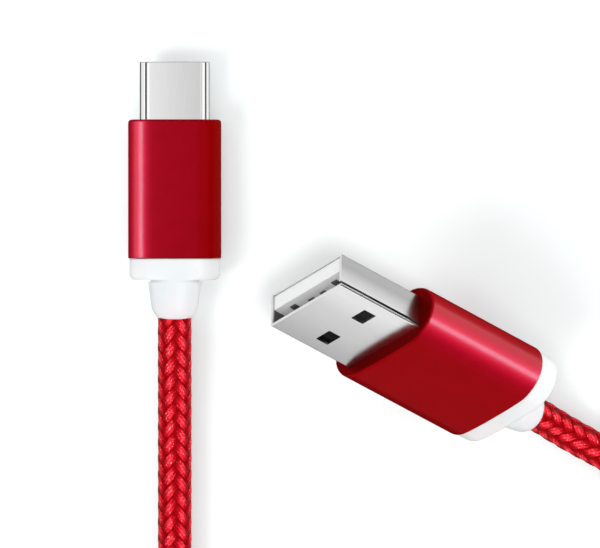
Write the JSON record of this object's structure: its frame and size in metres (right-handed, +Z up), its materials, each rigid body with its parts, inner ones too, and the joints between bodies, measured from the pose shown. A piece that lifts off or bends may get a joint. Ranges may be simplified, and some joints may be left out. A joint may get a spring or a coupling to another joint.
{
  "type": "charging cable",
  "caption": "Braided red cable with a USB-A plug and a USB-C plug, each in a rounded anodised sleeve with a white end cap; the spare cord lies in a tied coil.",
  "frame": {"origin": "on the surface the cable lies on, under the middle of the box that holds the two plugs, without the cord", "axes": "+Z up from the surface; +Y out of the USB-C plug's mouth; +X across that plug, towards the USB-A plug"},
  "size_m": [0.0657, 0.121, 0.0291],
  "materials": {
    "anodised_red": "satin red anodised aluminium",
    "nickel": "bright nickel-plated steel sheet",
    "gold": "gold-plated copper alloy",
    "white_cap": "white moulded plastic, satin",
    "white_insulator": "white moulded nylon",
    "black_insulator": "black moulded nylon",
    "resin": "cream low-pressure moulding",
    "board": "green solder mask",
    "resistor": "black chip resistor",
    "red_braid": "braided red nylon sleeve",
    "tie_strap": "black hook-and-loop strap",
    "wire_red": "red wire insulation",
    "wire_black": "black wire insulation",
    "wire_green": "green wire insulation",
    "wire_white": "white wire insulation"
  },
  "bodies": {
    "root": {"c_shell": "nickel", "a_shell": "nickel", "c_latch_arm_left": "nickel", "c_latch_arm_right": "nickel", "c_shield_spring_upper": "nickel", "c_shield_spring_lower": "nickel", "c_contact_block": "black_insulator", "a_tongue": "white_insulator", "c_board": "board", "c_pullup_resistor": "resistor", "c_inner_mould": "resin", "a_inner_mould": "resin", "c_sleeve": "anodised_red", "a_sleeve": "anodised_red", "c_end_cap": "white_cap", "a_end_cap": "white_cap", "cord_a_run": "red_braid", "cord_c_run": "red_braid", "cord_coil": "red_braid", "cable_tie": "tie_strap", "c_contact_a1": "gold", "c_contact_a4": "gold", "c_contact_a5": "gold", "c_contact_a6": "gold", "c_contact_a7": "gold", "c_contact_a9": "gold", "c_contact_a12": "gold", "c_contact_b1": "gold", "c_contact_b4": "gold", "c_contact_b9": "gold", "c_contact_b12": "gold", "a_contact_power": "gold", "a_contact_data_minus": "gold", "a_contact_data_plus": "gold", "a_contact_ground": "gold", "c_wire_red": "wire_red", "a_wire_red": "wire_red", "c_wire_black": "wire_black", "a_wire_black": "wire_black", "c_wire_green": "wire_green", "a_wire_green": "wire_green", "c_wire_white": "wire_white", "a_wire_white": "wire_white"}
  },
  "joints": []
}
